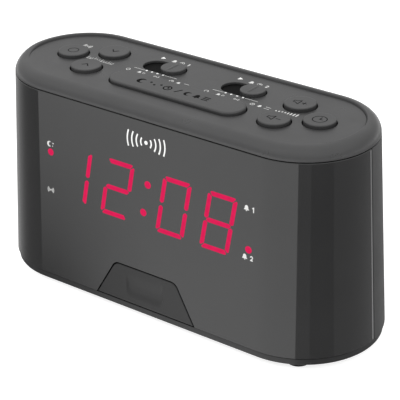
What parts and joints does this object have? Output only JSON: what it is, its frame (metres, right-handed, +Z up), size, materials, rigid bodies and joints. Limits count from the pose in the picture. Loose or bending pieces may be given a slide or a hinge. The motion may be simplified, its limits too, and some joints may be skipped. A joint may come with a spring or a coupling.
{
  "type": "clock radio",
  "caption": "Free-standing oval clock radio with a smoked wrap-around front, red LED time display, top control panel and a fold-down ledge in its front.",
  "frame": {"origin": "on the table, under the middle of the cabinet", "axes": "+X to the right of a person reading the clock, +Y towards the back, +Z up"},
  "size_m": [0.1606, 0.06, 0.0861],
  "materials": {
    "cover_plastic": "fine satin moulding",
    "smoked_front": "polished, smoked",
    "cabinet_plastic": "fine spark texture",
    "base_plastic": "fine spark texture",
    "frame_plastic": "plain moulding",
    "key_plastic": "fine satin moulding",
    "foot_rubber": "moulded",
    "board_laminate": "solder-masked",
    "switch_plastic": "plain moulding",
    "plated_steel": "nickel plated",
    "display_plastic": "plain moulding",
    "red_film": "smooth",
    "magnet_steel": "zinc plated",
    "cone_paper": "pressed fibre",
    "chip_resin": "moulded",
    "capacitor_sleeve": "shrunk film",
    "cell_jacket": "printed film over steel",
    "ribbon_film": "smooth",
    "lever_plastic": "plain moulding"
  },
  "bodies": {
    "housing": {"bottom_base": "base_plastic", "rubber_foot_1": "foot_rubber", "rubber_foot_2": "foot_rubber", "rubber_foot_3": "foot_rubber", "rubber_foot_4": "foot_rubber", "case_screw_1": "plated_steel", "case_screw_2": "plated_steel", "case_screw_3": "plated_steel", "case_screw_4": "plated_steel", "rear_cabinet": "cabinet_plastic", "front_lens": "smoked_front", "front_frame": "frame_plastic", "flap_hinge_pin": "plated_steel", "led_display": "display_plastic", "display_diffuser": "red_film", "display_board": "board_laminate", "top_cover": "cover_plastic", "key_board": "board_laminate", "key_board_screw_1": "plated_steel", "key_board_screw_2": "plated_steel", "tact_switch_radio": "switch_plastic", "tact_switch_tune_down": "switch_plastic", "tact_switch_tune_up": "switch_plastic", "tact_switch_volume_up": "switch_plastic", "tact_switch_volume_down": "switch_plastic", "tact_switch_clock": "switch_plastic", "tact_switch_snooze_left": "switch_plastic", "tact_switch_snooze_right": "switch_plastic", "alarm_1_switch_can": "plated_steel", "alarm_2_switch_can": "plated_steel", "main_board": "board_laminate", "radio_chip": "chip_resin", "clock_chip": "chip_resin", "filter_capacitor": "capacitor_sleeve", "dc_jack": "switch_plastic", "usb_socket": "plated_steel", "antenna_grommet": "foot_rubber", "speaker_basket": "plated_steel", "speaker_cone": "cone_paper", "speaker_magnet": "magnet_steel", "display_ribbon": "ribbon_film", "key_ribbon": "ribbon_film", "battery_cell_1": "cell_jacket", "battery_cell_2": "cell_jacket", "battery_spring_1": "plated_steel", "battery_spring_2": "plated_steel"},
    "front_flap": {"front_flap": "base_plastic"},
    "battery_cover": {"battery_door": "base_plastic"},
    "snooze_key": {"snooze_bar": "key_plastic"},
    "alarm_1_slider": {"alarm_1_knob": "key_plastic", "alarm_1_lever": "lever_plastic"},
    "alarm_2_slider": {"alarm_2_knob": "key_plastic", "alarm_2_lever": "lever_plastic"},
    "radio_key": {"radio_button": "key_plastic"},
    "tune_down_key": {"tune_down_button": "key_plastic"},
    "tune_up_key": {"tune_up_button": "key_plastic"},
    "volume_up_key": {"volume_up_button": "key_plastic"},
    "volume_down_key": {"volume_down_button": "key_plastic"},
    "clock_key": {"clock_button": "key_plastic"}
  },
  "joints": [
    {"name": "flap_hinge", "type": "hinge", "parent": "housing", "child": "front_flap", "pos_m": [0, -0.0265, 0.0087], "axis": [1, 0, 0], "range_deg": [0, 90]},
    {"name": "battery_cover_hinge", "type": "hinge", "parent": "housing", "child": "battery_cover", "pos_m": [0, -0.0035, 0.00305], "axis": [-1, 0, 0], "range_deg": [0, 70]},
    {"name": "radio_press", "type": "slide", "parent": "housing", "child": "radio_key", "axis": [0, 0, -1], "range_m": [0, 0.0008], "stiffness_N_per_m": 1500},
    {"name": "tune_down_press", "type": "slide", "parent": "housing", "child": "tune_down_key", "axis": [0, 0, -1], "range_m": [0, 0.0008], "stiffness_N_per_m": 1500},
    {"name": "tune_up_press", "type": "slide", "parent": "housing", "child": "tune_up_key", "axis": [0, 0, -1], "range_m": [0, 0.0008], "stiffness_N_per_m": 1500},
    {"name": "volume_up_press", "type": "slide", "parent": "housing", "child": "volume_up_key", "axis": [0, 0, -1], "range_m": [0, 0.0008], "stiffness_N_per_m": 1500},
    {"name": "volume_down_press", "type": "slide", "parent": "housing", "child": "volume_down_key", "axis": [0, 0, -1], "range_m": [0, 0.0008], "stiffness_N_per_m": 1500},
    {"name": "clock_press", "type": "slide", "parent": "housing", "child": "clock_key", "axis": [0, 0, -1], "range_m": [0, 0.0008], "stiffness_N_per_m": 1500},
    {"name": "snooze_press", "type": "slide", "parent": "housing", "child": "snooze_key", "axis": [0, 0, -1], "range_m": [0, 0.0008], "stiffness_N_per_m": 1500},
    {"name": "alarm_1_slide", "type": "slide", "parent": "housing", "child": "alarm_1_slider", "axis": [1, 0, 0], "range_m": [-0.008, 0]},
    {"name": "alarm_2_slide", "type": "slide", "parent": "housing", "child": "alarm_2_slider", "axis": [1, 0, 0], "range_m": [-0.008, 0]}
  ]
}
